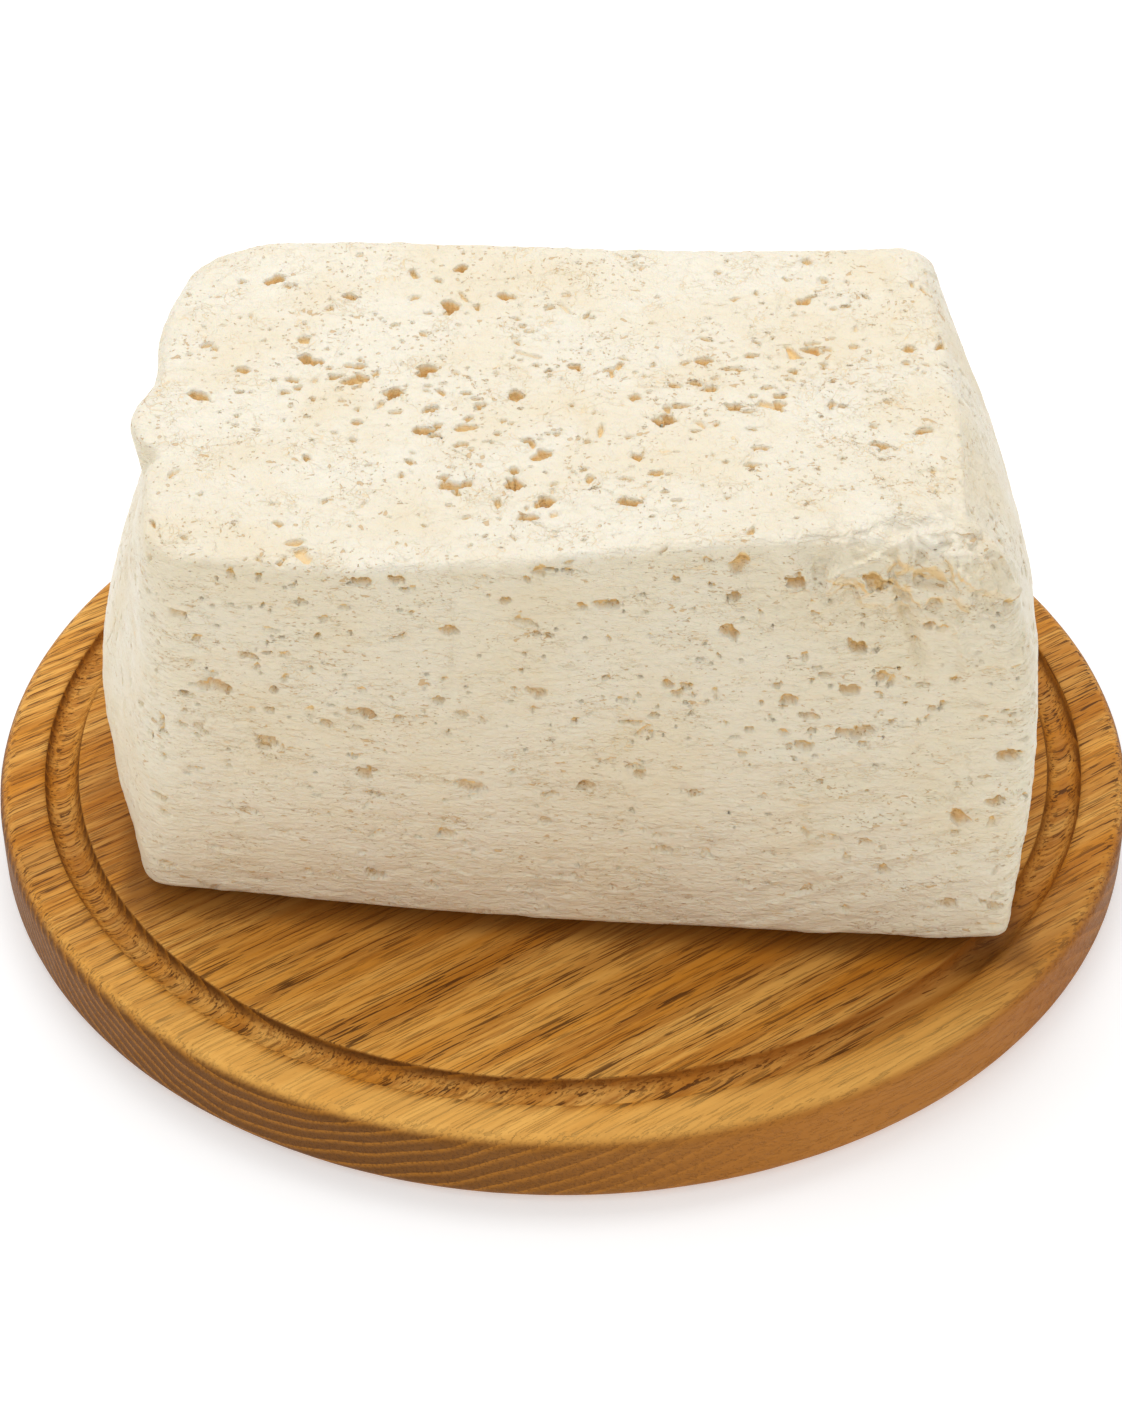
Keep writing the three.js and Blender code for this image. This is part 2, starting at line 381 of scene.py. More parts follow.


# the block's surface: the smooth shape, pushed and shaved, then moved along its normals by the sum of
# the reliefs, less the openings. Numbers kept at the vertices carry the pits' tint and painted shade,
# and the sides' painted bounce light, to the material
def makeCheese(s):
    def relief(name, places, salt, layers, share=0.5):
        height, size = s["relief"][name]
        return height * layeredNoise(places, size, salt, layers, share)

    counts = np.round(np.array(s["span"]) / s["gridStep"]).astype(int)
    cube, quads = cubeGrid(*counts)
    p = blockShape(cube, s)
    for middle, reach, way in s["pushes"]:
        fall = np.exp(-(((p - middle) / reach) ** 2).sum(1) * s["pushFalloff"])
        p = p + fall[:, None] * np.array(way)
    p = shave(p, s["facet"])
    n = normalsOf(p, quads)
    print("cheese grid", len(p), "points")
    top = ease(0.5, 0.85, n[:, 2])
    front = ease(0.4, 0.8, -n[:, 1])
    free = 1 - ease(-0.3, -0.8, n[:, 2])
    sides = (1 - top) * free
    ridge = free * ease(0.99, 0.8, np.abs(n).max(1))      # 1 on the rounded edges

    # broad swell and lumps, less on the edges, and level wrinkles left by the press on the sides
    rise = (1 - 0.75 * ridge) * (relief("swell", p, 3, 2) + relief("lumps", p, 9, 3))
    rise += s["backRise"] * ease(30, 55, p[:, 1]) * ease(96, 116, p[:, 2])
    level = p * np.array([0.26, 0.26, 1.0])
    low = 1 + 0.35 * ease(34, 4, p[:, 2])
    rise += sides * low * (relief("pressWrinkles", level, 15, 3, 0.6) + relief("fineWrinkles", level, 19, 2))
    rise += top * (relief("topGrain", p, 23, 3, 0.6) + relief("fineTopGrain", p, 25, 2))
    rise += ridge * relief("ridgeGrain", p, 27, 3, 0.65)
    # cloth marks fanning over the right of the front
    cloth = np.stack([p[:, 0] * 0.91 + p[:, 2] * 0.42, p[:, 1], p[:, 2] * 0.91 - p[:, 0] * 0.42], 1)
    marks = 1 - np.abs(layeredNoise(cloth * np.array([0.11, 0.3, 1.0]), 5.5, 29, 2)) * 3
    rise += s["clothMarks"] * front * ease(30, 62, p[:, 0]) * np.clip(marks, 0, 1)
    rise += s["creases"] * raiseCreases(p, frontCreases, -n[:, 1])
    # the crumbled corner: noise cut into steps with steep risers, strongest at its middle. It
    # leans from a raised lip at the ridge to a hollow below
    corner = s["crumble"]
    torn = p + 1.6 * np.stack([layeredNoise(p, 5, salt, 2) for salt in (61, 63, 65)], 1)
    spread = np.exp(-(((p - corner["middle"]) / corner["reach"]) ** 2).sum(1))
    broken = 3.2 * layeredNoise(torn, 6.5, 67, 2) + corner["lean"] * (p[:, 2] - corner["middle"][2])
    steps = np.floor(broken) + ease(0.3, 0.7, broken - np.floor(broken))
    rise += corner["height"] * spread * steps

    clusters = ease(-0.25, 0.5, layeredNoise(p, 42, 21, 2))
    warped = p + 1.0 * np.stack([softNoise(p, 5, 31), softNoise(p, 5, 37), softNoise(p, 5, 41)], 1)
    hidden = ease(-60, -30, p[:, 1])        # more on the far sides, where none are strewn
    big = curdOpenings(warped, s["bigOpenings"], 0.15 + 0.8 * hidden * clusters * sides)
    small = curdOpenings(warped, s["smallOpenings"], 0.4 + 0.8 * clusters)
    near, mark, _ = grains(warped * np.array([1, 1, 1.35]), 13, 91)
    pair = np.mod((mark[0] + mark[1]) * 7.31, 1)
    seam = ease(0.05, 0.0, near[1] - near[0]) * (pair > 0.6) * ease(-0.2, 0.4, softNoise(p, 11, 95))
    placed = np.maximum(carvePits(p, strewPits(pitFields["top"]), 1, n[:, 2], 200),
                        carvePits(p, strewPits(pitFields["front"]), 2, -n[:, 1], 400))
    cavity = np.maximum(np.maximum(big, small), placed) + s["seamDepth"] * seam
    cavity *= free
    p = p + n * (rise * free - cavity)[:, None]
    undercut = s["undercut"]
    p[:, 1] += undercut["inward"] * ease(-0.5, -0.97, cube[:, 1]) * ease(undercut["below"], 0, p[:, 2])
    p[:, 2] = np.maximum(p[:, 2], 0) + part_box("cutting_board")[1][2] / mm     # it rests on the board

    # the pits' whey tint with painted shade: darker in deep pits, and on the sides mostly on their
    # overhanging upper walls and under the crumbled corner's lip
    overhang = ease(0.02, 0.4, n[:, 2] - normalsOf(p, quads)[:, 2])
    stainAndShade = cavity * mix(0.24 + 1.6 * overhang, 0.7, top) + 0.8 * spread * overhang * (1 - top)
    piece = makePiece("cheese_body", p, quads.tolist(), "cheese_block")
    keepNumber(piece, "stainAndShade", stainAndShade)
    # 1 on the sides, 0 on the top: where the painted warm bounce light goes
    keepNumber(piece, "paintedBounce", 1 - top)
    for k, axis in enumerate("XYZ"):
        keepNumber(piece, "cube" + axis, cube[:, k])
    thin(piece, s["triangles"])
    layOutCheese(piece, faceLayout)
    return piece


# a flat layout of the six cut faces: the cube axes across and up a face, then its rectangle's
# left, bottom, width and height in millimetres
faceLayout = {
    "top": (0, 1, 2, 2, 237, 149), "front": (0, 2, 2, 156, 237, 119), "back": (0, 2, 2, 280, 237, 119),
    "left": (1, 2, 244, 2, 149, 119), "right": (1, 2, 244, 126, 149, 119),
    "bottom": (1, 0, 244, 250, 149, 226),
}
layoutWidth = 480.0


# each triangle goes to the side of the cube it looks to, by the cube coordinates kept at its corners
def layOutCheese(piece, layout):
    mesh = piece.data
    count = len(mesh.vertices)
    cube = np.empty((count, 3), np.float32)
    for k, axis in enumerate("XYZ"):
        values = np.empty(count, np.float32)
        mesh.attributes["cube" + axis].data.foreach_get("value", values)
        cube[:, k] = values
    corners = np.empty(len(mesh.loops), np.int32)
    mesh.loops.foreach_get("vertex_index", corners)
    corners = corners.reshape(-1, 3)
    middle = cube[corners].mean(1)
    axis = np.abs(middle).argmax(1)
    positive = middle[np.arange(len(middle)), axis] > 0
    name = np.array([["left", "right"], ["front", "back"], ["bottom", "top"]])[axis, positive.astype(int)]
    spots = np.zeros((len(corners), 3, 2))
    for side, (across, up, left, bottom, width, height) in layout.items():
        chosen = name == side
        at = (cube[corners[chosen]] + 1) / 2
        spots[chosen, :, 0] = left + at[:, :, across] * width
        spots[chosen, :, 1] = bottom + at[:, :, up] * height
    layer = mesh.uv_layers.new(name="OFBake")
    layer.data.foreach_set("uv", (spots / layoutWidth).ravel().astype(np.float32))


# thins a dense mesh to a number of triangles, keeping them where the surface turns most
def thin(piece, triangles):
    have = len(piece.data.polygons) * 2
    modifier = piece.modifiers.new("thin", "DECIMATE")
    modifier.ratio = triangles / have
    modifier.use_collapse_triangulate = True
    graph = bpy.context.evaluated_depsgraph_get()
    finished = bpy.data.meshes.new_from_object(piece.evaluated_get(graph))
    piece.modifiers.clear()
    old = piece.data
    piece.data = finished
    bpy.data.meshes.remove(old)
    print(piece.name, "thinned from", have, "to", len(finished.polygons), "triangles")


# an empty node material with one Principled shader: (material, tree, shader)
def newMaterial(name):
    material = bpy.data.materials.new(name)
    material.use_nodes = True
    tree = material.node_tree
    tree.nodes.clear()
    out = tree.nodes.new("ShaderNodeOutputMaterial")
    shader = tree.nodes.new("ShaderNodeBsdfPrincipled")
    tree.links.new(shader.outputs["BSDF"], out.inputs["Surface"])
    return material, tree, shader


# a node with its settings and input values; an input may be another node's output
def addNode(tree, kind, inputs=None, **settings):
    node = tree.nodes.new(kind)
    for key, value in settings.items():
        setattr(node, key, value)
    for key, value in (inputs or {}).items():
        if isinstance(value, bpy.types.NodeSocket):
            tree.links.new(value, node.inputs[key])
        else:
            node.inputs[key].default_value = value
    return node


# one arithmetic step; either value may be another node's output
def mathNode(tree, operation, a, b=0.0):
    return addNode(tree, "ShaderNodeMath", {0: a, 1: b}, operation=operation).outputs[0]


# value between two stops, eased to 0..1
def rangeNode(tree, value, low, high, toLow=0.0, toHigh=1.0):
    node = addNode(tree, "ShaderNodeMapRange", {"Value": value, "From Min": low, "From Max": high,
                                                 "To Min": toLow, "To Max": toHigh})
    node.interpolation_type = "SMOOTHSTEP"
    return node.outputs["Result"]


# a colour between two; any of the three may be another node's output
def mixColour(tree, share, a, b):
    node = tree.nodes.new("ShaderNodeMix")
    node.data_type = "RGBA"
    for socket, value in ((node.inputs[0], share), (node.inputs[6], a), (node.inputs[7], b)):
        if isinstance(value, bpy.types.NodeSocket):
            tree.links.new(value, socket)
        else:
            socket.default_value = value
    return node.outputs[2]


# soft noise, 0..1 about a half; scale counts its waves in a metre
def noiseNode(tree, place, scale, detail=2.0, roughness=0.5, distortion=0.0):
    node = addNode(tree, "ShaderNodeTexNoise", {"Vector": place, "Scale": scale, "Detail": detail,
                                                 "Roughness": roughness, "Distortion": distortion})
    return node.outputs["Fac"]


def colour(r, g, b):
    return (r, g, b, 1.0)


cheeseLook = {
    "ivory": colour(0.88, 0.815, 0.67),
    "cream": colour(0.85, 0.745, 0.55),
    "bounceLitSide": colour(0.83, 0.715, 0.48),     # the sides, yellower than the top: painted warm light bounced from the oak
    "golden": colour(0.92, 0.59, 0.20),
    # whey-dark: the brine's tint, also laid in holes and deep pits as painted shade
    "wheyAndShade": colour(0.60, 0.33, 0.08),
    "softening": 0.0008,            # how far light spreads inside, metres
    "crackleSize": 0.0046,          # curd outlines, metres across
    "pinholeSize": 0.0017,
}


# a place nudged about by noise, so that a pattern on it wanders
def warpNode(tree, place, scale, amount):
    noise = addNode(tree, "ShaderNodeTexNoise", {"Vector": place, "Scale": scale, "Detail": 2.0})
    centred = addNode(tree, "ShaderNodeVectorMath", {0: noise.outputs["Color"], 1: (0.5, 0.5, 0.5)},
                      operation="SUBTRACT").outputs[0]
    nudge = addNode(tree, "ShaderNodeVectorMath", {0: centred, "Scale": amount}, operation="SCALE").outputs[0]
    return addNode(tree, "ShaderNodeVectorMath", {0: place, 1: nudge}, operation="ADD").outputs[0]


# thin broken outlines between curds, 1 on a line
def crackleNode(tree, place, size, width, patchiness):
    cells = addNode(tree, "ShaderNodeTexVoronoi", {"Vector": place, "Scale": 1 / size},
                    feature="DISTANCE_TO_EDGE").outputs["Distance"]
    line = rangeNode(tree, cells, width, 0.0)
    return mathNode(tree, "MULTIPLY", line, rangeNode(tree, noiseNode(tree, place, 130, 2), *patchiness))


# round holes of random size, crowded in places, 1 inside one
def pinholeNode(tree, place, size, largest, crowding):
    holes = addNode(tree, "ShaderNodeTexVoronoi", {"Vector": place, "Scale": 1 / size})
    room = mathNode(tree, "MULTIPLY", mathNode(tree, "POWER", holes.outputs["Color"], 1.6), largest)
    room = mathNode(tree, "MULTIPLY", room, rangeNode(tree, noiseNode(tree, place, 55, 2), *crowding))
    return rangeNode(tree, mathNode(tree, "SUBTRACT", room, holes.outputs["Distance"]), -0.02, 0.08)


# ragged tears, 1 inside one: where a noise stands above a limit that is lowered in crowded places
def tearNode(tree, place, scale, limit, crowding):
    crowd = rangeNode(tree, noiseNode(tree, place, 60, 2), *crowding)
    lifted = mathNode(tree, "ADD", noiseNode(tree, place, scale, 2, 0.5, 0.5),
                      mathNode(tree, "MULTIPLY", crowd, 0.09))
    return rangeNode(tree, lifted, limit, limit + 0.035)


# fine wandering creases, 1 on a line: where a noise passes its middle value, in patches
def creaseNode(tree, place, scale, width, patchiness):
    height = mathNode(tree, "SUBTRACT", noiseNode(tree, place, scale, 3, 0.55, 0.7), 0.5)
    line = rangeNode(tree, mathNode(tree, "ABSOLUTE", height), width, 0.0)
    return mathNode(tree, "MULTIPLY", line, rangeNode(tree, noiseNode(tree, place, 90, 2), *patchiness))


# the cheese's surface: cream mottling, the sides yellowed as painted bounce light, then outlines,
# creases and holes, partly painted shade, then the pits' tint and painted shade, over three layers
# of fine relief
def paintCheese(piece, look):
    material, tree, shader = newMaterial("white_cheese")
    place = addNode(tree, "ShaderNodeTexCoord").outputs["Object"]
    stainAndShade = addNode(tree, "ShaderNodeAttribute", attribute_name="stainAndShade").outputs["Fac"]
    paintedBounce = addNode(tree, "ShaderNodeAttribute", attribute_name="paintedBounce").outputs["Fac"]
    patches = noiseNode(tree, place, 38, 3)
    mottle = noiseNode(tree, place, 210, 3)
    base = mixColour(tree, rangeNode(tree, patches, 0.35, 0.75), look["ivory"], look["cream"])
    base = mixColour(tree, rangeNode(tree, mottle, 0.45, 0.85, 0, 0.5), base, look["cream"])
    # sides yellowed: painted warm bounce light from the board
    base = mixColour(tree, mathNode(tree, "MULTIPLY", paintedBounce, 0.4), base, look["bounceLitSide"])
    # pressed flat, so that outlines and holes run level on the sides
    pressed = addNode(tree, "ShaderNodeMapping", {"Vector": place, "Scale": (1, 1, 2.6)}).outputs[0]
    wandering = warpNode(tree, pressed, 140, 0.005)
    crackle = crackleNode(tree, wandering, look["crackleSize"], 0.05, (0.56, 0.68))
    pinhole = pinholeNode(tree, wandering, look["pinholeSize"], 0.42, (0.40, 0.62))
    tear = mathNode(tree, "MAXIMUM", tearNode(tree, pressed, 330, 0.74, (0.40, 0.62)),
                    tearNode(tree, wandering, 760, 0.73, (0.46, 0.64)))
    crease = mathNode(tree, "MAXIMUM", creaseNode(tree, pressed, 110, 0.010, (0.47, 0.60)),
                      creaseNode(tree, wandering, 230, 0.015, (0.50, 0.64)))
    holes = mathNode(tree, "MAXIMUM", mathNode(tree, "MULTIPLY", pinhole, 0.8), tear)
    base = mixColour(tree, mathNode(tree, "MULTIPLY", crackle, 0.2), base, look["golden"])
    base = mixColour(tree, mathNode(tree, "MULTIPLY", crease, 0.42), base, look["golden"])
    # pinholes and tears darkened towards whey: partly brine tint, partly painted shade inside them
    base = mixColour(tree, mathNode(tree, "MULTIPLY", holes, 0.6), base, look["wheyAndShade"])
    # golden, then whey-dark where the pits are deepest or overhang: partly tint, partly painted shade
    base = mixColour(tree, rangeNode(tree, stainAndShade, 0.1, 1.0, 0, 0.75), base, look["golden"])
    base = mixColour(tree, rangeNode(tree, stainAndShade, 1.5, 3.4, 0, 0.45), base, look["wheyAndShade"])
    tree.links.new(base, shader.inputs["Base Color"])
    # fine relief
    grain = noiseNode(tree, place, 1100, 3, 0.6)
    curd = noiseNode(tree, pressed, 330, 3, 0.6, 0.4)
    sunk = mathNode(tree, "MAXIMUM", holes, mathNode(tree, "MULTIPLY", crackle, 0.2))
    sunk = mathNode(tree, "MAXIMUM", sunk, mathNode(tree, "MULTIPLY", crease, 0.28))
    relief = addNode(tree, "ShaderNodeBump", {"Height": sunk, "Distance": 0.0005, "Strength": 0.7})
    relief.invert = True
    relief = addNode(tree, "ShaderNodeBump", {"Height": curd, "Distance": 0.0011, "Strength": 0.8,
                                               "Normal": relief.outputs[0]})
    relief = addNode(tree, "ShaderNodeBump", {"Height": grain, "Distance": 0.0002, "Strength": 0.5,
                                               "Normal": relief.outputs[0]})
    tree.links.new(relief.outputs[0], shader.inputs["Normal"])
    tree.links.new(rangeNode(tree, patches, 0.3, 0.7, 0.28, 0.45), shader.inputs["Roughness"])
    shader.inputs["Subsurface Weight"].default_value = 0.2
    shader.inputs["Subsurface Radius"].default_value = (1.0, 0.7, 0.4)
    shader.inputs["Subsurface Scale"].default_value = look["softening"]
    shader.inputs["Specular IOR Level"].default_value = 0.4
    piece.data.materials.clear()
    piece.data.materials.append(material)


board = {
    "diameter": 300.0, "thickness": 20.0, "edgeRadius": 4.0,
    "grooveOuterRadius": 138.0, "grooveWidth": 9.0, "grooveDepth": 4.0,
    "around": 480,                  # steps round the rim
    "undersideRings": 12,
    "unevenness": (0.05, 9),        # of the sanded surface: height, size
    "grainTurn": 36.0,              # the grain's direction on the board, degrees from +X
}


# points of an arc in the section's plane, its middle at (r, z), from one angle to another in degrees
def arcPoints(r, z, radius, start, end, steps):
    a = np.radians(np.linspace(start, end, steps + 1))
    return np.stack([r + radius * np.cos(a), z + radius * np.sin(a)], 1)


# half section from the underside's middle, out round the rim, through the groove to the top's middle
def boardProfile(s):
    rim, t = s["diameter"] / 2 - s["edgeRadius"], s["thickness"]
    wide, deep = s["grooveWidth"], s["grooveDepth"]
    radius = (wide ** 2 / 4 + deep ** 2) / (2 * deep)
    middle = s["grooveOuterRadius"] - wide / 2
    spread = math.degrees(math.asin(wide / 2 / radius))

    def run(a, b, steps):
        return np.linspace(a, b, steps + 2)[1:-1]

    return np.concatenate([
        np.stack([np.linspace(2, rim - 3, s["undersideRings"]), np.zeros(s["undersideRings"])], 1),
        arcPoints(rim, s["edgeRadius"], s["edgeRadius"], -90, 0, 8),
        run((rim + s["edgeRadius"], s["edgeRadius"]), (rim + s["edgeRadius"], t - s["edgeRadius"]), 10),
        arcPoints(rim, t - s["edgeRadius"], s["edgeRadius"], 0, 90, 8),
        run((rim, t), (middle + wide / 2 + 0.6, t), 4),
        arcPoints(middle, t - deep + radius, radius, spread - 90, -spread - 90, 16),
        np.stack([np.linspace(middle - wide / 2 - 0.6, 2, 30), np.full(30, t)], 1),
    ])


# a flat layout: the face and the underside as discs, the turned side as two long strips
boardLayout = {
    "face": (0.40, 0.40, 0.39), "under": (0.90, 0.10, 0.095),       # middle across, up, and radius
    "strips": (0.84, 0.92), "stripStart": 0.01, "stripLength": 0.97, "stripHeight": 0.055,
}


# discs take their place straight from above; a strip runs round the rim, with height across it
def layOutBoard(piece, s, layout):
    mesh = piece.data
    radius = s["diameter"] / 2 * mm
    places = np.empty(len(mesh.vertices) * 3, np.float32)
    mesh.vertices.foreach_get("co", places)
    places = places.reshape(-1, 3)
    corners = np.empty(len(mesh.loops), np.int32)
    mesh.loops.foreach_get("vertex_index", corners)
    sizes = np.empty(len(mesh.polygons), np.int32)
    mesh.polygons.foreach_get("loop_total", sizes)
    facing = np.empty(len(mesh.polygons) * 3, np.float32)
    mesh.polygons.foreach_get("normal", facing)
    facing = np.repeat(facing.reshape(-1, 3), sizes, axis=0)
    middles = np.empty(len(mesh.polygons) * 3, np.float32)
    mesh.polygons.foreach_get("center", middles)
    middles = np.repeat(middles.reshape(-1, 3), sizes, axis=0)
    at, outer = places[corners], np.hypot(middles[:, 0], middles[:, 1]) > radius - s["edgeRadius"] * mm
    rim = outer & (np.abs(facing[:, 2]) < 0.8)
    up = facing[:, 2] > 0
    spots = np.zeros((len(corners), 2))
    for chosen, key in ((~rim & up, "face"), (~rim & ~up, "under")):
        x, y, size = layout[key]
        spots[chosen, 0] = x + at[chosen, 0] / radius * size
        spots[chosen, 1] = y + at[chosen, 1] / radius * size
    middleTurn = np.arctan2(middles[:, 1], middles[:, 0]) / (2 * np.pi)
    turn = np.arctan2(at[:, 1], at[:, 0]) / (2 * np.pi)
    turn = turn + np.round(middleTurn - turn)
    second = middleTurn > 0
    along = np.where(second, turn, turn + 0.5) * 2
    spots[rim, 0] = layout["stripStart"] + layout["stripLength"] * along[rim]
    base = np.where(second, layout["strips"][1], layout["strips"][0])
    spots[rim, 1] = base[rim] + at[rim, 2] / (s["thickness"] * mm) * layout["stripHeight"]
    layer = mesh.uv_layers.new(name="OFBake")
    layer.data.foreach_set("uv", spots.ravel().astype(np.float32))


# the disc: its half section turned about the upright axis, closed by a fan at each pole
def makeBoard(s):
    profile = boardProfile(s)
    rows, around = len(profile), s["around"]
    a = np.arange(around) / around * 2 * np.pi
    r, z = profile[:, 0:1], profile[:, 1:2]
    verts = np.stack([r * np.cos(a), r * np.sin(a), np.broadcast_to(z, (rows, around))], 2).reshape(-1, 3)
    i, j = np.meshgrid(np.arange(rows - 1), np.arange(around), indexing="ij")
    k = (j + 1) % around
    quads = np.stack([i * around + j, i * around + k, (i + 1) * around + k, (i + 1) * around + j], 2)
    quads = quads.reshape(-1, 4)
    # fine sanded unevenness, but the underside stays flat
    height, size = s["unevenness"]
    verts = verts + normalsOf(verts, quads) * (height * layeredNoise(verts, size, 131, 2))[:, None]
    underside = np.repeat(np.arange(rows) < s["undersideRings"], around)
    verts[:, 2] = np.where(underside, 0, np.maximum(verts[:, 2], 0))
    count = len(verts)
    verts = np.concatenate([verts, [[0, 0, 0], [0, 0, s["thickness"]]]])
    ring = np.arange(around)
    under = np.stack([np.full(around, count), (ring + 1) % around, ring], 1)
    last = (rows - 1) * around
    over = np.stack([np.full(around, count + 1), last + ring, last + (ring + 1) % around], 1)
    piece = makePiece("board_disc", verts, quads.tolist() + under.tolist() + over.tolist(),
                      "cutting_board")
    layOutBoard(piece, s, boardLayout)
    print("board", len(piece.data.polygons), "faces")
    return piece


boardLook = {
    "honey": colour(0.70, 0.27, 0.022),
    "pale": colour(0.92, 0.50, 0.12),
    "brown": colour(0.36, 0.115, 0.010),
    "dark": colour(0.13, 0.048, 0.008),
    "pore": colour(0.075, 0.024, 0.004),
    "ringWidth": 0.0032,
    "heart": (-0.060, 0.095),       # the tree's heart: across the grain, and height, metres
}


# how far a place lies outside the quadrilateral of the foot: the largest of its distances past the
# four side lines, in metres
def outsideFoot(tree, place, foot):
    corners = [Vector(foot[name]) * mm for name in ("frontLeft", "frontRight", "backRight", "backLeft")]
    farthest = None
    for k, start in enumerate(corners):
        run = (corners[(k + 1) % 4] - start).normalized()
        out = (run.y, -run.x, 0.0)
        reach = addNode(tree, "ShaderNodeVectorMath", {0: place, 1: out}, operation="DOT_PRODUCT")
        past = mathNode(tree, "SUBTRACT", reach.outputs["Value"], start.x * out[0] + start.y * out[1])
        farthest = past if farthest is None else mathNode(tree, "MAXIMUM", farthest, past)
    return farthest


# oiled oak: long tones, rings, streaks and pores along the grain, and rings as bands on its ends
def paintBoard(piece, look, s):
    material, tree, shader = newMaterial("oiled_oak")
    place = addNode(tree, "ShaderNodeTexCoord").outputs["Object"]
    turn = -math.radians(s["grainTurn"])
    along = addNode(tree, "ShaderNodeMapping", {"Vector": place, "Rotation": (0, 0, turn)}).outputs[0]
    drawn = addNode(tree, "ShaderNodeMapping", {"Vector": along, "Scale": (0.08, 1, 1)}).outputs[0]
    fine = addNode(tree, "ShaderNodeMapping", {"Vector": along, "Scale": (0.04, 1, 1)}).outputs[0]
    # growth rings round the heart, wandering slowly along the grain
    wobble = noiseNode(tree, drawn, 22, 2)
    parts = addNode(tree, "ShaderNodeSeparateXYZ", {"Vector": along})
    dy = mathNode(tree, "SUBTRACT", parts.outputs["Y"], look["heart"][0])
    dz = mathNode(tree, "SUBTRACT", parts.outputs["Z"], look["heart"][1])
    far = mathNode(tree, "SQRT", mathNode(tree, "ADD", mathNode(tree, "MULTIPLY", dy, dy),
                                          mathNode(tree, "MULTIPLY", dz, dz)))
    far = mathNode(tree, "ADD", far, mathNode(tree, "MULTIPLY", wobble, 0.012))
    ring = mathNode(tree, "FRACT", mathNode(tree, "DIVIDE", far, look["ringWidth"]))
    band = mathNode(tree, "MAXIMUM", rangeNode(tree, ring, 0.45, 0.95), rangeNode(tree, ring, 0.0, 0.2, 1, 0))
    # how squarely the grain meets the surface: 0 on the top, 1 on the end grain
    facing = addNode(tree, "ShaderNodeNewGeometry").outputs["Normal"]
    turned = addNode(tree, "ShaderNodeMapping", {"Vector": facing, "Rotation": (0, 0, turn)}).outputs[0]
    endwise = addNode(tree, "ShaderNodeSeparateXYZ", {"Vector": turned}).outputs["X"]
    endwise = rangeNode(tree, mathNode(tree, "ABSOLUTE", endwise), 0.15, 0.85)
    up = addNode(tree, "ShaderNodeSeparateXYZ", {"Vector": facing}).outputs["Z"]
    side = rangeNode(tree, up, 0.95, 0.35)
    # long tones, then rings, streaks and pores
    tone = rangeNode(tree, noiseNode(tree, drawn, 90, 4, 0.6), 0.3, 0.7)
    base = mixColour(tree, tone, look["honey"], look["pale"])
    broad = rangeNode(tree, noiseNode(tree, drawn, 24, 2), 0.45, 0.75, 0, 0.45)
    base = mixColour(tree, broad, base, look["brown"])
    onFace = mathNode(tree, "SUBTRACT", 1.0, endwise)
    rings = mathNode(tree, "MULTIPLY", mathNode(tree, "MULTIPLY", band, 0.38), onFace)
    base = mixColour(tree, rings, base, look["brown"])
    streak = noiseNode(tree, fine, 760, 5, 0.72)
    base = mixColour(tree, rangeNode(tree, streak, 0.46, 0.62, 0, 0.58), base, look["brown"])
    pore = rangeNode(tree, noiseNode(tree, fine, 1700, 2, 0.5), 0.55, 0.59)
    pore = mathNode(tree, "MULTIPLY", pore, mathNode(tree, "ADD", mathNode(tree, "MULTIPLY", band, 0.5), 0.5))
    base = mixColour(tree, mathNode(tree, "MULTIPLY", pore, 0.85), base, look["pore"])
    # paler on the front of the rim, a painted highlight, and darker round the cheese's foot, a painted
    # contact shadow
    flat = addNode(tree, "ShaderNodeMapping", {"Vector": place, "Scale": (1, 1, 0)}).outputs[0]
    radius = addNode(tree, "ShaderNodeVectorMath", {0: flat}, operation="LENGTH").outputs["Value"]
    frontward = rangeNode(tree, addNode(tree, "ShaderNodeSeparateXYZ", {"Vector": place}).outputs["Y"],
                          -0.05, -0.14, 0, 0.6)
    # the front of the rim made paler: painted highlight
    paintedRimSheen = mathNode(tree, "MULTIPLY", rangeNode(tree, radius, 0.137, 0.142), frontward)
    base = mixColour(tree, paintedRimSheen, base, look["pale"])
    # a narrow dark band and a wider brown one round the cheese's foot: painted contact shadow
    away = outsideFoot(tree, place, cheese["foot"])
    base = mixColour(tree, rangeNode(tree, away, 0.009, 0.002, 0, 0.62), base, look["dark"])
    base = mixColour(tree, rangeNode(tree, away, 0.030, 0.004, 0, 0.3), base, look["brown"])
    # the turned side drinks more oil, most of all on the end grain, where the rings show as bands
    base = mixColour(tree, mathNode(tree, "MULTIPLY", side, 0.8), base, look["brown"])
    ends = mixColour(tree, rangeNode(tree, ring, 0.5, 0.0, 0, 0.45), look["dark"], look["honey"])
    ends = mixColour(tree, mathNode(tree, "MULTIPLY", pore, 0.5), ends, look["pore"])
    endShare = mathNode(tree, "MULTIPLY", mathNode(tree, "MULTIPLY", endwise, side), 0.85)
    base = mixColour(tree, endShare, base, ends)
    tree.links.new(base, shader.inputs["Base Color"])
    relief = addNode(tree, "ShaderNodeBump", {"Height": pore, "Distance": 0.00025, "Strength": 0.8})
    relief.invert = True
    relief = addNode(tree, "ShaderNodeBump", {"Height": streak, "Distance": 0.0002, "Strength": 0.5,
                                               "Normal": relief.outputs[0]})
    tree.links.new(relief.outputs[0], shader.inputs["Normal"])
    tree.links.new(rangeNode(tree, streak, 0.3, 0.7, 0.45, 0.6), shader.inputs["Roughness"])
    shader.inputs["Specular IOR Level"].default_value = 0.12
    piece.data.materials.clear()
    piece.data.materials.append(material)


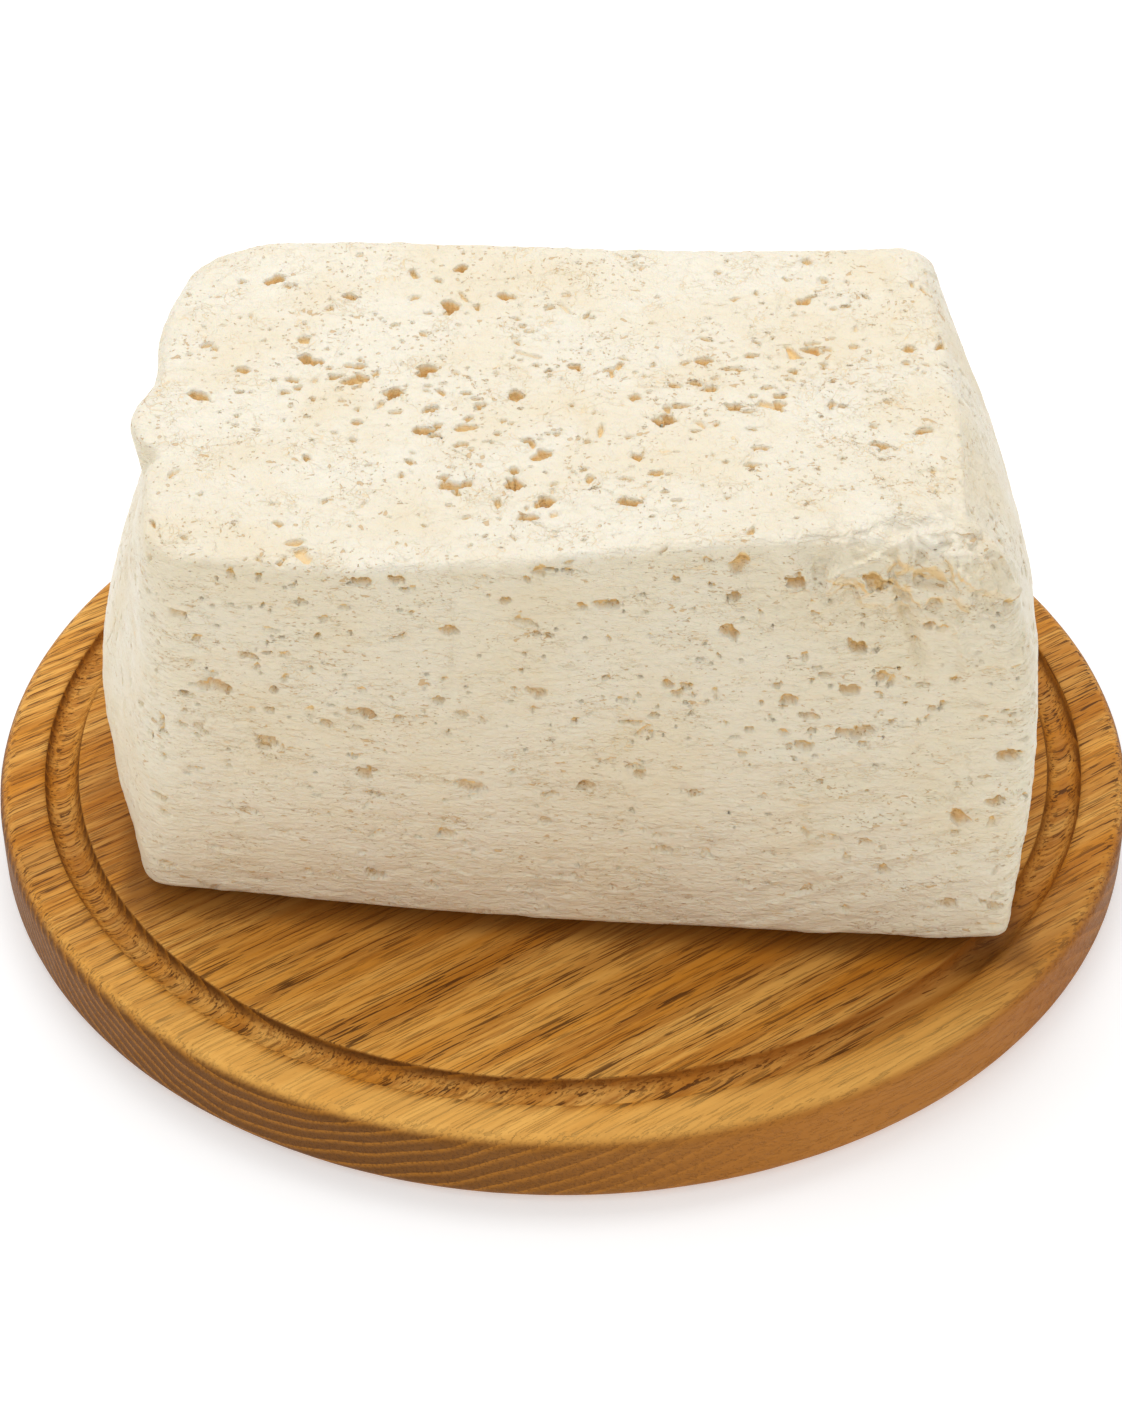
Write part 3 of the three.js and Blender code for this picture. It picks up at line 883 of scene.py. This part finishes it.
studio = {
    "cameraAt": (-0.45, -669.6, 557.7), "lens": 82.17, "pitchDown": 38.12, "tilt": -0.22,
    "floorSize": 6.0, "floor": colour(0.75, 0.75, 0.75), "paleFloor": colour(0.76, 0.76, 0.76),
    "world": 0.69, "floorGlow": 0.38, "backdrop": 0.98,
    # soft lights: where each stands and aims, its width and height, and its watts
    "lights": {
        "overhead": ((-0.05, 0.5, 1.15), (0, 0, 0.05), (1.0, 0.8), 6.4),
        "front": ((-0.3, -1.35, 0.9), (0, 0, 0.06), (1.1, 0.9), 1.5),
        "left": ((-1.35, -0.1, 0.7), (0, 0, 0.06), (0.9, 0.7), 0.9),
    },
}


# a pale floor, an even white world, soft lights and the camera
def makeStudio(s):
    mesh = bpy.data.meshes.new("floor")
    half = s["floorSize"] / 2
    mesh.from_pydata([(-half, -half, 0), (half, -half, 0), (half, half, 0), (-half, half, 0)], [],
                     [(0, 1, 2, 3)])
    floor = bpy.data.objects.new("floor", mesh)
    bpy.context.scene.collection.objects.link(floor)
    material, tree, shader = newMaterial("pale_floor")
    place = addNode(tree, "ShaderNodeTexCoord").outputs["Object"]
    shade = rangeNode(tree, noiseNode(tree, place, 3), 0.3, 0.7)
    base = mixColour(tree, shade, s["floor"], s["paleFloor"])
    tree.links.new(base, shader.inputs["Base Color"])
    shader.inputs["Roughness"].default_value = 0.9
    shader.inputs["Emission Color"].default_value = colour(1, 1, 1)
    shader.inputs["Emission Strength"].default_value = s["floorGlow"]
    mesh.materials.append(material)

    world = bpy.data.worlds.new("studio")
    world.use_nodes = True
    background = world.node_tree.nodes["Background"]
    background.inputs["Color"].default_value = (1, 1, 1, 1)
    # the backdrop is seen whiter than it lights, so that the floor has no hard far edge
    seen = addNode(world.node_tree, "ShaderNodeLightPath").outputs["Is Camera Ray"]
    whiter = mathNode(world.node_tree, "MULTIPLY", seen, s["backdrop"] - s["world"])
    strength = mathNode(world.node_tree, "ADD", whiter, s["world"])
    world.node_tree.links.new(strength, background.inputs["Strength"])
    bpy.context.scene.world = world

    for name, (at, aim, (width, height), power) in s["lights"].items():
        light = bpy.data.lights.new(name, "AREA")
        light.shape, light.size, light.size_y = "RECTANGLE", width, height
        light.energy = power
        lamp = bpy.data.objects.new(name, light)
        lamp.location = at
        lamp.rotation_euler = (Vector(aim) - Vector(at)).to_track_quat("-Z", "Y").to_euler()
        bpy.context.scene.collection.objects.link(lamp)

    lens = bpy.data.cameras.new("camera")
    lens.lens, lens.sensor_width = s["lens"], 36
    lens.clip_start, lens.clip_end = 0.01, 20
    camera = bpy.data.objects.new("camera", lens)
    turn = Matrix.Rotation(math.radians(90 - s["pitchDown"]), 4, "X")
    roll = Matrix.Rotation(math.radians(s["tilt"]), 4, "Z")
    camera.matrix_world = Matrix.Translation(Vector(s["cameraAt"]) * mm) @ turn @ roll
    bpy.context.scene.collection.objects.link(camera)
    bpy.context.scene.camera = camera
    bpy.context.scene.view_settings.view_transform = "Standard"


makeStudio(studio)
print("studio made")
paintCheese(makeCheese(cheese), cheeseLook)
print("cheese made")
paintBoard(makeBoard(board), boardLook, board)
print("board made")
